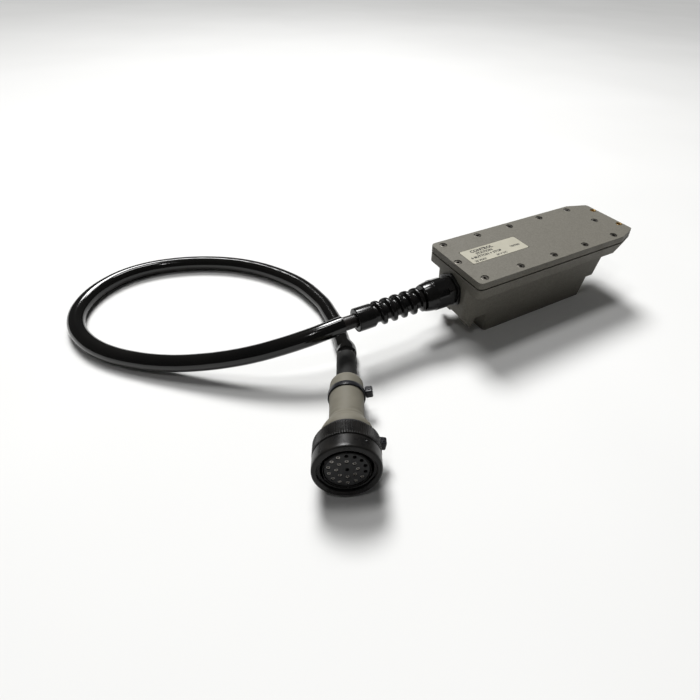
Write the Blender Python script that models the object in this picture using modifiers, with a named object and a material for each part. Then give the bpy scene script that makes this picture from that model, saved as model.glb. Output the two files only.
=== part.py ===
"""Pendant control station: a cast hand station lying on its control face, with its rear cover up,
a gland with a bend relief at one end, and a loop of cable that ends in a 23-way circular plug.

Metres, +Z up. The long axis of the station is X: the cable leaves toward -X and the nose is at +X.
The rim of the button guard stands on Z = 0. The origin is below the middle of the station.
"""
import math

import bpy
import bmesh
from mathutils import Matrix, Vector

MM = 0.001
GAP = 0.3 * MM                       # clearance that touching pieces keep

# Station, along X
STATION_LENGTH = 219.5 * MM          # end of the gland's dome nut to the nose
NOSE_X = STATION_LENGTH / 2
LID_LENGTH = 188.8 * MM
END_X = NOSE_X - LID_LENGTH          # face of the end wall that carries the gland
CHAMFER_LENGTH = 21.2 * MM           # each nose corner is cut off over this length
HALF_WIDTH = 36 * MM
NOSE_HALF_WIDTH = 28.5 * MM
SLANT = math.radians(18.5)           # lean of every nose face

# Station, along Z
GUARD_TOP = 20 * MM                  # underside of the end section, ceiling of the button well
FLOOR = 23 * MM                      # inner floor, which is also the control panel
FLANGE_LOW = 51 * MM
FLANGE_HIGH = 59.4 * MM
LID_LOW = 60.6 * MM
LID_HIGH = 66.6 * MM

BODY_HALF = 23 * MM                  # half width of the narrow body under the flange
BODY_NOSE_X = NOSE_X - 20.6 * MM     # the body's nose at the flange's underside
GUARD_END_X = -55 * MM
GUARD_NOSE_X = 71 * MM               # the guard's nose at its top
WALL = 3 * MM

# Cover screws
SCREW_PITCH = 38.1 * MM
SCREW_ROW_Y = 29.5 * MM
SCREW_FIRST_X = END_X + 9.3 * MM
HEAD_R = 3.3 * MM
SHANK_R = 1.6 * MM
CONE = 2 * MM
MIDDLE_SCREWS = (END_X + 3.9 * MM, NOSE_X - 19.6 * MM)
INSERT_PLACES = [(NOSE_X - 3.7 * MM, side * 16.3 * MM) for side in (1, -1)]

# Name label: corner nearest the gland and nearest -Y, then its size
LABEL_CORNER = (-65.4 * MM, -9 * MM)
LABEL_SIZE = (61.5 * MM, 21 * MM)

# Controls
BUTTON_PLACES = [(x * MM, side * 10.4 * MM) for x in (-38, -10, 18) for side in (1, -1)]
STOP_PLACE = (45 * MM, 0.0)
CAP_R = 6 * MM
STEM_R = 5 * MM
STOP_HEAD_R = 12.5 * MM

# Gland, bend relief and cable
GLAND_Z = 40.7 * MM
RELIEF_LENGTH = 61.7 * MM
COLLAR_LENGTH = 15.5 * MM
TURNS = 5
JACKET_R = 5.7 * MM                  # bare cable
TUBING_R = 7 * MM                    # cable inside its outer tubing
REST = TUBING_R + 0.1 * MM

# Plug: the middle of the coupling ring's rear rim, the way the plug faces, and its sizes
RING_R = 22 * MM
RING_LENGTH = 22.4 * MM
PLUG_HEADING = math.radians(-115)
PLUG_TILT = math.radians(7.5)
PLUG_PLACE = Vector((-0.2231, -0.0906, RING_R * math.cos(PLUG_TILT) + 0.1 * MM))
PLUG_AXIS = Vector((math.cos(PLUG_HEADING) * math.cos(PLUG_TILT),
                    math.sin(PLUG_HEADING) * math.cos(PLUG_TILT), math.sin(PLUG_TILT)))
BOOT_LENGTH = 62.8 * MM
BOOT_R = 12.6 * MM
BOOT_MOUTH_R = 17.4 * MM
SLEEVE_R = 8 * MM
SLEEVE_SHOWS = 33.6 * MM             # length of the shrink sleeve behind the boot
CONTACT_R = 1.35 * MM
CONTACT_RINGS = ((14, 11.45 * MM), (8, 6.55 * MM), (1, 0.0))
INSERT_FACE = 20.8 * MM              # the contacts' face, just inside the coupling ring's front rim

# Centre line of the cable, from the bend relief, down to the table, round the loop and to the plug
RELIEF_END_X = END_X - 31 * MM - RELIEF_LENGTH
TUBING_START_X = RELIEF_END_X - 11 * MM
SLEEVE_END = PLUG_PLACE - PLUG_AXIS * (BOOT_LENGTH + GAP + SLEEVE_SHOWS)
STRAIGHT = 2.5 * MM                  # the tubing runs straight this far at both ends
CABLE_ROUTE = [
    (TUBING_START_X - STRAIGHT, 0.0, GLAND_Z), (-0.1970, 0.0004, 0.0394), (-0.2120, 0.0032, 0.0362),
    (-0.2300, 0.0089, 0.0313), (-0.2480, 0.0165, 0.0260), (-0.2660, 0.0263, 0.0207),
    (-0.2860, 0.0393, 0.0153), (-0.3060, 0.0540, 0.0110), (-0.3260, 0.0712, 0.0083),
    (-0.3460, 0.0924, REST), (-0.3605, 0.1155, REST), (-0.3680, 0.1420, REST),
    (-0.3655, 0.1680, REST), (-0.3510, 0.1925, REST), (-0.3270, 0.2090, REST),
    (-0.2990, 0.2135, REST), (-0.2690, 0.2075, REST), (-0.2400, 0.1940, REST),
    (-0.2145, 0.1745, REST), (-0.1930, 0.1480, REST), (-0.1765, 0.1150, REST),
    (-0.1697, 0.0800, REST), (-0.1700, 0.0580, REST), (-0.1718, 0.0400, REST),
    (-0.1745, 0.0250, 0.0072), (-0.1768, 0.0130, 0.0076),
    tuple(SLEEVE_END - PLUG_AXIS * (11 * MM)), tuple(SLEEVE_END - PLUG_AXIS * STRAIGHT),
]


# ---------------------------------------------------------------- scene and materials

def clear_scene():
    for item in list(bpy.data.objects):
        bpy.data.objects.remove(item, do_unlink=True)


def new_collection(name):
    collection = bpy.data.collections.new(name)
    bpy.context.scene.collection.children.link(collection)
    return collection


def material(name, colour, roughness, metallic=0.0):
    """A Principled material in one plain colour."""
    made = bpy.data.materials.new(name)
    made.use_nodes = True
    shader = made.node_tree.nodes["Principled BSDF"]
    shader.inputs["Base Color"].default_value = (*colour, 1)
    shader.inputs["Roughness"].default_value = roughness
    shader.inputs["Metallic"].default_value = metallic
    return made


clear_scene()
STATION = new_collection("PendantControlStation")
CUTTERS = new_collection("Cutters")
GREY = material("GreyCasting", (0.36, 0.36, 0.35), 0.55)
RUBBER = material("BlackRubber", (0.02, 0.02, 0.02), 0.7)
NYLON = material("BlackNylon", (0.015, 0.015, 0.016), 0.3)
GLOSS = material("BlackTubing", (0.01, 0.01, 0.01), 0.12)
STEEL = material("ScrewSteel", (0.45, 0.44, 0.42), 0.35, 1.0)
BRASS = material("Brass", (0.62, 0.45, 0.2), 0.35, 1.0)
PAPER = material("LabelFilm", (0.8, 0.78, 0.7), 0.4)
BOARD = material("BoardGreen", (0.05, 0.22, 0.1), 0.5)
RED = material("StopRed", (0.65, 0.02, 0.02), 0.35)
YELLOW = material("LegendYellow", (0.75, 0.55, 0.05), 0.45)
PUTTY = material("ShrinkPutty", (0.5, 0.48, 0.43), 0.5)


# ---------------------------------------------------------------- making and cutting solids

def as_piece(item, surface):
    """Puts a finished object in the station's collection with its material."""
    for collection in list(item.users_collection):
        collection.objects.unlink(item)
    STATION.objects.link(item)
    item.data.materials.clear()
    item.data.materials.append(surface)
    return item


def as_cutter(item):
    """Marks an object as a tool for Booleans."""
    for collection in list(item.users_collection):
        collection.objects.unlink(item)
    CUTTERS.objects.link(item)
    item.hide_render = True
    item.display_type = "WIRE"
    return item


def as_mesh(item):
    """The same object with its curve and modifiers made into one welded mesh."""
    bpy.context.view_layer.update()
    evaluated = item.evaluated_get(bpy.context.evaluated_depsgraph_get())
    mesh = bpy.data.meshes.new_from_object(evaluated)
    cage = bmesh.new()
    cage.from_mesh(mesh)
    bmesh.ops.remove_doubles(cage, verts=cage.verts, dist=1e-6)
    bmesh.ops.recalc_face_normals(cage, faces=cage.faces)
    cage.to_mesh(mesh)
    cage.free()
    name, place = item.name, item.matrix_world.copy()
    bpy.data.objects.remove(item, do_unlink=True)
    made = bpy.data.objects.new(name, mesh)
    made.matrix_world = place
    CUTTERS.objects.link(made)
    return made


def combine(item, operation, others):
    """Cuts or joins the other solids with this one, each by its own Boolean."""
    for other in others:
        step = item.modifiers.new(f"{operation.title()} {other.name}", "BOOLEAN")
        step.operation = operation
        step.object = as_cutter(other)
    return item


def bevel(item, width, segments=2):
    edge = item.modifiers.new("Rounded edges", "BEVEL")
    edge.width = width
    edge.segments = segments
    edge.limit_method = "ANGLE"
    edge.angle_limit = math.radians(40)
    return item


def rounded(corners, steps=3):
    """A closed outline from (x, y, radius) corners, anticlockwise, each one an arc."""
    outline = []
    for i, (x, y, radius) in enumerate(corners):
        corner = Vector((x, y))
        before = (Vector(corners[i - 1][:2]) - corner).normalized()
        after = (Vector(corners[(i + 1) % len(corners)][:2]) - corner).normalized()
        half = before.angle(after) / 2
        centre = corner + (before + after).normalized() * (radius / math.sin(half))
        first = corner + before * (radius / math.tan(half)) - centre
        sweep = math.pi - 2 * half
        for k in range(steps + 1):
            outline.append(centre + Matrix.Rotation(sweep * k / steps, 2) @ first)
    return outline


def prism(name, outline, low, high):
    """A flat outline made solid between two heights."""
    curve = bpy.data.curves.new(name, "CURVE")
    curve.dimensions = "2D"
    curve.fill_mode = "BOTH"
    curve.extrude = (high - low) / 2
    spline = curve.splines.new("POLY")
    spline.points.add(len(outline) - 1)
    for point, (x, y) in zip(spline.points, outline):
        point.co = (x, y, 0, 1)
    spline.use_cyclic_u = True
    item = bpy.data.objects.new(name, curve)
    item.location.z = (low + high) / 2
    CUTTERS.objects.link(item)
    return as_mesh(item)


def box(name, low, high):
    bpy.ops.mesh.primitive_cube_add(size=1, location=(0, 0, 0))
    item = bpy.context.object
    item.name = name
    size = [b - a for a, b in zip(low, high)]
    middle = [(a + b) / 2 for a, b in zip(low, high)]
    item.data.transform(Matrix.Translation(middle) @ Matrix.Diagonal((*size, 1)))
    return item


def rod(name, radius, low, high, sides=20, place=(0, 0)):
    """An upright cylinder or hexagon between two heights."""
    bpy.ops.mesh.primitive_cylinder_add(vertices=sides, radius=radius, depth=high - low,
                                        location=(*place, (low + high) / 2))
    item = bpy.context.object
    item.name = name
    return item


def turned(name, profile, sides=20, closed=False):
    """A turned solid from (radius, height) points down its outer side; closed for a ring."""
    mesh = bpy.data.meshes.new(name)
    count = len(profile)
    edges = [(i, (i + 1) % count) for i in range(count if closed else count - 1)]
    mesh.from_pydata([(r, 0, z) for r, z in profile], edges, [])
    item = bpy.data.objects.new(name, mesh)
    CUTTERS.objects.link(item)
    screw = item.modifiers.new("Turn", "SCREW")
    screw.steps = sides
    screw.render_steps = sides
    screw.use_merge_vertices = True
    screw.merge_threshold = 0.00001
    return item


def ring(name, inner, outer, low, high, sides=20):
    return turned(name, [(outer, high), (outer, low), (inner, low), (inner, high)], sides, closed=True)


def tube(name, points, radius, surface):
    """A round cable along a centre line, with flat ends."""
    curve = bpy.data.curves.new(name, "CURVE")
    curve.dimensions = "3D"
    curve.bevel_depth = radius
    curve.bevel_resolution = 3
    curve.use_fill_caps = True
    spline = curve.splines.new("POLY")
    spline.points.add(len(points) - 1)
    for point, place in zip(spline.points, points):
        point.co = (*place, 1)
    item = bpy.data.objects.new(name, curve)
    CUTTERS.objects.link(item)
    return as_piece(item, surface)


def smooth_route(knots, spacing):
    """Points about one spacing apart on a Catmull-Rom curve through the knots."""
    knots = [Vector(k) for k in knots]
    ends = [2 * knots[0] - knots[1]] + knots + [2 * knots[-1] - knots[-2]]
    fine = []
    for a, b, c, d in zip(ends, ends[1:], ends[2:], ends[3:]):
        for step in range(16):
            t = step / 16
            fine.append(0.5 * (2 * b + (c - a) * t + (2 * a - 5 * b + 4 * c - d) * t * t
                               + (3 * b - a - 3 * c + d) * t ** 3))
    fine.append(knots[-1])
    travelled = [0.0]
    for a, b in zip(fine, fine[1:]):
        travelled.append(travelled[-1] + (b - a).length)
    count = round(travelled[-1] / spacing)
    route, k = [], 0
    for i in range(count + 1):
        target = travelled[-1] * i / count
        while k < len(fine) - 2 and travelled[k + 1] < target:
            k += 1
        share = (target - travelled[k]) / (travelled[k + 1] - travelled[k])
        route.append(fine[k].lerp(fine[k + 1], share))
    return route


# ---------------------------------------------------------------- housing

def lid_outline(inset=0.0):
    """Plan of the rear cover and flange: a rectangle whose two nose corners are cut off."""
    side = HALF_WIDTH - inset
    nose = NOSE_X - inset
    shoulder = NOSE_X - CHAMFER_LENGTH
    return rounded([(END_X + inset, -side, 4 * MM), (shoulder, -side, 5 * MM),
                    (nose, -NOSE_HALF_WIDTH + inset, 3 * MM), (nose, NOSE_HALF_WIDTH - inset, 3 * MM),
                    (shoulder, side, 5 * MM), (END_X + inset, side, 4 * MM)])


def slant_cutter(name, place, heading=0.0):
    """A block outside a plane through place that leans inward on the way down."""
    reach = 80 * MM
    block = box(name, (0, -reach, -reach), (reach, reach, reach / 8))
    lean = Matrix.Rotation(heading, 4, "Z") @ Matrix.Rotation(SLANT, 4, "Y")
    block.data.transform(Matrix.Translation(place) @ lean)
    return block


def flange():
    """The rim that the cover is screwed to, with its three nose faces leaning inward."""
    solid = prism("Housing", lid_outline(), FLANGE_LOW, FLANGE_HIGH)
    turn = math.atan2(CHAMFER_LENGTH, HALF_WIDTH - NOSE_HALF_WIDTH)
    start = FLANGE_HIGH - 0.8 * MM
    cuts = [slant_cutter("NoseSlant", (NOSE_X, 0, start))]
    for side in (1, -1):
        place = (NOSE_X - CHAMFER_LENGTH, side * HALF_WIDTH, start)
        cuts.append(slant_cutter(f"ShoulderSlant{side:+d}", place, side * turn))
    return combine(solid, "DIFFERENCE", cuts)


def body():
    """The narrow hollow body below the flange, flush with the end wall."""
    outline = rounded([(END_X, -BODY_HALF, 5 * MM), (BODY_NOSE_X + WALL, -BODY_HALF, 4 * MM),
                       (BODY_NOSE_X + WALL, BODY_HALF, 4 * MM), (END_X, BODY_HALF, 5 * MM)])
    solid = prism("Body", outline, GUARD_TOP, FLANGE_LOW + WALL)
    return combine(solid, "DIFFERENCE", [slant_cutter("BodySlant", (BODY_NOSE_X, 0, FLANGE_LOW))])


def guard():
    """The deep block whose rim stands round the buttons."""
    half = BODY_HALF - 0.4 * MM
    outline = rounded([(GUARD_END_X, -half, 3 * MM), (GUARD_NOSE_X + WALL, -half, 3 * MM),
                       (GUARD_NOSE_X + WALL, half, 3 * MM), (GUARD_END_X, half, 3 * MM)])
    solid = prism("Guard", outline, 0, GUARD_TOP + WALL / 2)
    return combine(solid, "DIFFERENCE", [slant_cutter("GuardSlant", (GUARD_NOSE_X, 0, GUARD_TOP))])


def strap_lug(side):
    """A tapered foot under the end section, 15 mm wide, with its point down."""
    top, tip = GUARD_TOP + WALL / 2, 10 * MM
    profile = [(END_X + 6.8 * MM, tip), (END_X + 8.5 * MM, tip), (END_X + 13 * MM, top),
               (END_X + 1.5 * MM, top)]
    lug = prism(f"StrapLug{side:+d}", profile, -7.4 * MM, 7.4 * MM)
    lug.rotation_euler.x = math.pi / 2
    lug.location.y = side * 14.8 * MM
    return lug


def screw_places():
    rows = [(SCREW_FIRST_X + i * SCREW_PITCH, side * SCREW_ROW_Y) for side in (1, -1) for i in range(5)]
    return rows + [(x, 0.0) for x in MIDDLE_SCREWS]


def housing():
    """One casting: flange, body, guard and feet, hollow above the panel and below it."""
    solid = combine(flange(), "UNION", [body(), guard(), strap_lug(1), strap_lug(-1)])
    inside = box("Cavity", (END_X + 2 * WALL, -BODY_HALF + WALL, FLOOR),
                 (76 * MM, BODY_HALF - WALL, FLANGE_HIGH + WALL))
    well = box("ButtonWell", (GUARD_END_X + WALL, -BODY_HALF + WALL, -WALL),
               (61 * MM, BODY_HALF - WALL, GUARD_TOP))
    cuts = [inside, well]
    for i, place in enumerate(BUTTON_PLACES):
        cuts.append(rod(f"ButtonHole{i}", 8 * MM, GUARD_TOP - MM, FLOOR + MM, place=place))
    cuts.append(rod("StopHole", 9.3 * MM, GUARD_TOP - MM, FLOOR + MM, place=STOP_PLACE))
    for i, place in enumerate(screw_places()):
        cuts.append(rod(f"ScrewHole{i}", SHANK_R + GAP, FLANGE_LOW + 2 * MM, FLANGE_HIGH + MM, 10, place))
    cuts.append(lay_down(rod("GlandHole", 10.3 * MM, -MM, 2 * WALL + MM)))
    return as_piece(combine(solid, "DIFFERENCE", cuts), GREY)


def lay_down(item):
    """Turns an upright piece to point along -X, on the gland's axis, from inside the end wall."""
    turn = Matrix.Rotation(-math.pi / 2, 4, "Y")
    start = Matrix.Translation((END_X + 2 * WALL, 0, GLAND_Z))
    item.matrix_world = start @ turn @ item.matrix_basis
    return item


# ---------------------------------------------------------------- cover and its fasteners

def lid_gasket():
    outer = prism("LidGasket", lid_outline(MM), FLANGE_HIGH + GAP, LID_LOW - GAP)
    inner = box("GasketOpening", (END_X + 2 * WALL, -BODY_HALF + WALL, FLANGE_HIGH - MM),
                (76 * MM, BODY_HALF - WALL, LID_LOW + MM))
    holes = [rod(f"GasketHole{i}", SHANK_R + GAP, FLANGE_HIGH - MM, LID_LOW + MM, 10, place)
             for i, place in enumerate(screw_places())]
    return as_piece(combine(outer, "DIFFERENCE", [inner] + holes), RUBBER)


def countersink(name, place):
    """The cutter for one screw: a clearance hole that opens into a cone."""
    top, wide = LID_HIGH + MM, HEAD_R + GAP
    narrow = SHANK_R + GAP
    cutter = turned(name, [(0, top), (wide, top), (wide, LID_HIGH - 0.4 * MM), (narrow, LID_HIGH - CONE),
                           (narrow, LID_LOW - MM), (0, LID_LOW - MM)], 12)
    cutter.location = (*place, 0)
    return cutter


def rear_cover():
    plate = bevel(prism("RearCover", lid_outline(), LID_LOW, LID_HIGH), 0.9 * MM)
    (x, y), (length, width) = LABEL_CORNER, LABEL_SIZE
    cuts = [box("LabelPocket", (x - GAP, y - GAP, LID_HIGH - 0.6 * MM),
                (x + length + GAP, y + width + GAP, LID_HIGH + MM))]
    cuts += [countersink(f"Countersink{i}", place) for i, place in enumerate(screw_places())]
    cuts += [rod(f"InsertHole{i}", 2.9 * MM + GAP, LID_LOW - MM, LID_HIGH + MM, 12, place)
             for i, place in enumerate(INSERT_PLACES)]
    return as_piece(combine(plate, "DIFFERENCE", cuts), GREY)


def name_label():
    (x, y), (length, width) = LABEL_CORNER, LABEL_SIZE
    corners = [(x, y), (x + length, y), (x + length, y + width), (x, y + width)]
    outline = rounded([(a, b, 1.2 * MM) for a, b in corners])
    return as_piece(prism("NameLabel", outline, LID_HIGH - 0.3 * MM, LID_HIGH + 0.1 * MM), PAPER)


def cover_screws():
    """Twelve countersunk socket screws that share one mesh."""
    top, foot = LID_HIGH - 0.3 * MM, FLANGE_LOW + 3 * MM
    shank = SHANK_R - 0.1 * MM
    solid = turned("ScrewPattern", [(0, top), (HEAD_R - 0.2 * MM, top), (HEAD_R - 0.1 * MM, top - 0.4 * MM),
                                    (shank, top - CONE), (shank, foot), (0, foot)], 12)
    recess = rod("SocketRecess", 1.3 * MM, top - 1.3 * MM, top + MM, 6)
    pattern = as_mesh(combine(solid, "DIFFERENCE", [recess]))
    for i, place in enumerate(screw_places()):
        screw = bpy.data.objects.new(f"CoverScrew_{i + 1:02d}", pattern.data)
        screw.location = (*place, 0)
        as_piece(screw, STEEL)
    for used in (pattern, recess):
        bpy.data.objects.remove(used, do_unlink=True)


def hook_inserts():
    for i, place in enumerate(INSERT_PLACES):
        insert = ring(f"HookInsert_{i + 1}", 1.7 * MM, 2.9 * MM, LID_LOW + GAP, LID_HIGH + 0.1 * MM, 12)
        insert.location = (*place, 0)
        as_piece(insert, BRASS)


# ---------------------------------------------------------------- controls

def legend_plate():
    plate = box("LegendPlate", (GUARD_END_X + WALL + MM, -BODY_HALF + WALL + 0.6 * MM, GUARD_TOP - MM),
                (60 * MM, BODY_HALF - WALL - 0.6 * MM, GUARD_TOP - GAP))
    holes = [rod(f"LegendHole{i}", 8 * MM, GUARD_TOP - 2 * MM, GUARD_TOP + MM, place=place)
             for i, place in enumerate(BUTTON_PLACES)]
    holes.append(rod("LegendStopHole", 9.3 * MM, GUARD_TOP - 2 * MM, GUARD_TOP + MM, place=STOP_PLACE))
    return as_piece(combine(plate, "DIFFERENCE", holes), YELLOW)


def bezel(name, place, bore, bush, collar, low):
    """A threaded bush that sits in the panel, with a collar below it."""
    shelf = GUARD_TOP - MM - GAP
    item = turned(name, [(bush, 27 * MM), (bush, shelf), (collar, shelf), (collar, low + MM),
                         (collar - MM, low), (bore, low), (bore, 27 * MM)], closed=True)
    item.location = (*place, 0)
    return as_piece(item, NYLON)


def push_button(number, place):
    """One momentary button: its bezel, its sprung cap and the switch above it."""
    bezel(f"ButtonBezel_{number}", place, CAP_R + GAP, 7.6 * MM, 9 * MM, 14 * MM)
    cap = turned(f"ButtonCap_{number}", [(0, 15.5 * MM), (CAP_R, 15.5 * MM), (CAP_R, 0.8 * MM),
                                         (CAP_R - 0.8 * MM, 0), (0, 0)])
    cap.location = (*place, 8 * MM)
    as_piece(cap, NYLON)
    x, y = place
    half = 7.8 * MM
    switch = box(f"SwitchBlock_{number}", (x - half, y - half, 27.3 * MM), (x + half, y + half, 43 * MM))
    as_piece(bevel(switch, 0.6 * MM, 1), RUBBER)


def stop_button():
    """A mushroom head that turns on a stem that slides, with its bezel and contact block."""
    bezel("StopBezel", STOP_PLACE, STEM_R + GAP, 9 * MM, 12 * MM, 14 * MM)
    head = turned("StopHead", [(0, 3 * MM), (STEM_R + GAP, 3 * MM), (STEM_R + GAP, 7 * MM),
                               (STOP_HEAD_R, 7 * MM), (STOP_HEAD_R, 2.4 * MM),
                               (STOP_HEAD_R - 2 * MM, 0.6 * MM), (STEM_R, 0), (0, 0)])
    head.location = (*STOP_PLACE, 2.5 * MM)
    as_piece(head, RED)
    stem = turned("StopStem", [(0, 17 * MM), (STEM_R, 17 * MM), (STEM_R, 0), (0, 0)])
    stem.location = (*STOP_PLACE, 5.8 * MM)
    as_piece(stem, NYLON)
    x, y = STOP_PLACE
    half = 11 * MM
    block = box("StopContactBlock", (x - half, y - half, 27.3 * MM), (x + half, y + half, 43 * MM))
    as_piece(bevel(block, 0.6 * MM, 1), RUBBER)


def wiring_board():
    board = box("WiringBoard", (-46 * MM, -18 * MM, 43.3 * MM), (72 * MM, 18 * MM, 44.9 * MM))
    as_piece(board, BOARD)
    strip = box("TerminalStrip", (-44 * MM, -14 * MM, 45.2 * MM), (-32 * MM, 14 * MM, 55 * MM))
    as_piece(bevel(strip, 0.6 * MM, 1), NYLON)


# ---------------------------------------------------------------- gland and cable

def hexagon(name, across_corners, low, high):
    """A hexagon on the gland's axis, turned 3 degrees from point up."""
    item = rod(name, across_corners / 2, low, high, 6)
    item.data.transform(Matrix.Rotation(math.radians(33), 4, "Z"))
    return item


def gland():
    """The hex flange, hex body, dome nut, seal and inner nut of the cable gland.

    Heights are measured outward from the inner face of the end wall."""
    wall = 2 * WALL
    flange_top = wall + GAP + 3.2 * MM
    body_top = flange_top + GAP + 7 * MM
    dome_top = wall + 30.7 * MM
    shank = 10 * MM
    bore = 6.1 * MM
    outer = hexagon("GlandHexFlange", 32 * MM, wall + GAP, flange_top)
    combine(outer, "DIFFERENCE", [lay_down(rod("FlangeBore", shank + GAP, wall - MM, flange_top + MM))])
    as_piece(lay_down(outer), NYLON)
    hexes = hexagon("GlandBody", 29.5 * MM, flange_top + GAP, body_top)
    combine(hexes, "UNION", [lay_down(rod("BodyShank", shank, -7 * MM, flange_top + MM))])
    combine(hexes, "DIFFERENCE", [lay_down(rod("BodyBore", bore, -9 * MM, body_top + MM))])
    as_piece(lay_down(hexes), NYLON)
    dome = turned("GlandDomeNut", [(11.7 * MM, dome_top), (13.6 * MM, dome_top - 9 * MM),
                                   (13.6 * MM, body_top + GAP), (9 * MM, body_top + GAP),
                                   (9 * MM, body_top + 8 * MM), (bore, body_top + 10 * MM),
                                   (bore, dome_top)], 28, closed=True)
    as_piece(lay_down(dome), NYLON)
    seal = ring("GlandSeal", bore, 8.7 * MM, body_top + 2 * GAP, body_top + 7.5 * MM)
    as_piece(lay_down(seal), RUBBER)
    nut = hexagon("GlandInnerNut", 28 * MM, -5.5 * MM, -GAP)
    combine(nut, "DIFFERENCE", [lay_down(rod("NutBore", shank + GAP, -7 * MM, MM))])
    as_piece(lay_down(nut), NYLON)


def bend_relief():
    """Five ribs that shrink a little toward the cable, and the plain collar at their end."""
    start = 2 * WALL + 31 * MM
    end = start + RELIEF_LENGTH
    pitch = (RELIEF_LENGTH - COLLAR_LENGTH) / TURNS
    profile = [(9.8 * MM, end), (9.8 * MM, end - COLLAR_LENGTH)]
    for i in range(TURNS):
        low = end - COLLAR_LENGTH - pitch * (i + 1)
        crest = (10.4 + 0.15 * i) * MM
        profile += [(7.8 * MM, low + pitch * 0.95), (crest, low + pitch * 0.72),
                    (crest, low + pitch * 0.33), (7.8 * MM, low + pitch * 0.1)]
    profile += [(7.8 * MM, start), (6.1 * MM, start), (6.1 * MM, end)]
    return as_piece(lay_down(turned("BendRelief", profile, 24, closed=True)), NYLON)


def cable():
    """The cable's hidden tail, its bare stretch and the stretch in glossy tubing."""
    tail = [(END_X + 17 * MM, 0, GLAND_Z), (RELIEF_END_X + 2 * MM, 0, GLAND_Z)]
    tube("CableTail", tail, JACKET_R - 0.1 * MM, RUBBER)
    bare = [(RELIEF_END_X + 1.7 * MM, 0, GLAND_Z), (TUBING_START_X + GAP, 0, GLAND_Z)]
    tube("CableJacket", bare, JACKET_R - 0.1 * MM, RUBBER)
    first, last = (TUBING_START_X, 0, GLAND_Z), SLEEVE_END - PLUG_AXIS * GAP
    tube("CableTubing", [first] + smooth_route(CABLE_ROUTE, 2 * TUBING_R) + [last], TUBING_R, GLOSS)


# ---------------------------------------------------------------- plug

def plug_axis():
    """An empty at the middle of the coupling ring's rear rim. Its Z is the way the plug faces,
    and its X is level and to the right of anyone who looks at the contacts."""
    axis = bpy.data.objects.new("PlugAxis", None)
    across = Vector((-math.sin(PLUG_HEADING), math.cos(PLUG_HEADING), 0))
    turn = Matrix((across, PLUG_AXIS.cross(across), PLUG_AXIS)).transposed().to_4x4()
    axis.matrix_world = Matrix.Translation(PLUG_PLACE) @ turn
    STATION.objects.link(axis)
    return axis


def coupling_ring():
    length, lip = RING_LENGTH, 0.8 * MM
    return turned("CouplingRing", [(18 * MM, length), (RING_R - lip, length), (RING_R, length - lip),
                                   (RING_R, lip), (RING_R - lip, 0), (14.3 * MM, 0), (14.3 * MM, 3 * MM),
                                   (18 * MM, 3 * MM)], 40, closed=True)


def plug_shell():
    """A tube from inside the boot to the face, with the shoulder that keeps the ring on."""
    front = INSERT_FACE + 0.4 * MM
    return turned("PlugShell", [(15.2 * MM, front), (15.2 * MM, 5.3 * MM), (17.4 * MM, 5.3 * MM),
                                (17.4 * MM, 3.3 * MM), (14 * MM, 3.3 * MM), (14 * MM, -13 * MM),
                                (11 * MM, -13 * MM), (11 * MM, 6 * MM), (14.3 * MM, 6 * MM),
                                (14.3 * MM, front)], 28, closed=True)


def contact_insert():
    """The disc in the shell, with a blind hole for each of the 23 contacts."""
    disc = turned("ContactInsert", [(0, INSERT_FACE), (14 * MM, INSERT_FACE), (14 * MM, 6.3 * MM),
                                    (0, 6.3 * MM)], 28)
    holes = []
    for count, radius in CONTACT_RINGS:
        for i in range(count):
            angle = math.pi / 2 - math.tau * i / count
            place = (radius * math.cos(angle), radius * math.sin(angle))
            holes.append(rod(f"Cavity{count}_{i}", CONTACT_R, 15 * MM, INSERT_FACE + MM, 6, place))
    return combine(disc, "DIFFERENCE", holes)


def boot():
    """The shrink boot: a mouth behind the ring, a bell, a straight neck and a rounded small end."""
    return turned("ShrinkBoot", [(BOOT_MOUTH_R, -GAP), (BOOT_MOUTH_R, -4.6 * MM), (18 * MM, -7.5 * MM),
                                 (16.4 * MM, -12 * MM), (13.8 * MM, -17 * MM), (12.3 * MM, -22 * MM),
                                 (BOOT_R, -44 * MM), (BOOT_R, -58.5 * MM), (11.6 * MM, -61.4 * MM),
                                 (10 * MM, -BOOT_LENGTH), (SLEEVE_R + GAP, -BOOT_LENGTH),
                                 (SLEEVE_R + GAP, -18 * MM), (14.3 * MM, -13.6 * MM),
                                 (14.3 * MM, -GAP)], 28, closed=True)


def shrink_sleeve():
    return rod("ShrinkSleeve", SLEEVE_R, -BOOT_LENGTH - GAP - SLEEVE_SHOWS, -22.6 * MM)


def boot_tie(number, radius, height, heading, half, stand):
    """A cable tie: a flat band and the square head that locks it, which stands off the boot."""
    band = ring(f"BootTie_{number}", radius + GAP, radius + 1.3 * MM, height - half, height + half, 28)
    head = box(f"TieHead{number}", (radius + 0.9 * MM, -3.4 * MM, height - 4.9 * MM),
               (radius + stand + 5.6 * MM, 3.4 * MM, height + 1.9 * MM))
    head.data.transform(Matrix.Rotation(heading, 4, "Z"))
    return combine(band, "UNION", [head])


def plug():
    """Everything on the plug's axis, each piece a child of that axis."""
    axis = plug_axis()
    pieces = [(coupling_ring(), NYLON), (plug_shell(), NYLON), (contact_insert(), NYLON), (boot(), PUTTY),
              (shrink_sleeve(), RUBBER), (boot_tie(1, BOOT_R, -47.3 * MM, math.radians(8), 2.1 * MM, MM), NYLON),
              (boot_tie(2, BOOT_MOUTH_R, -2.5 * MM, math.radians(-12), 1.7 * MM, 3 * MM), NYLON)]
    for item, surface in pieces:
        as_piece(item, surface).parent = axis
        for step in item.modifiers:
            if step.type == "BOOLEAN":
                step.object.parent = axis


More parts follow.
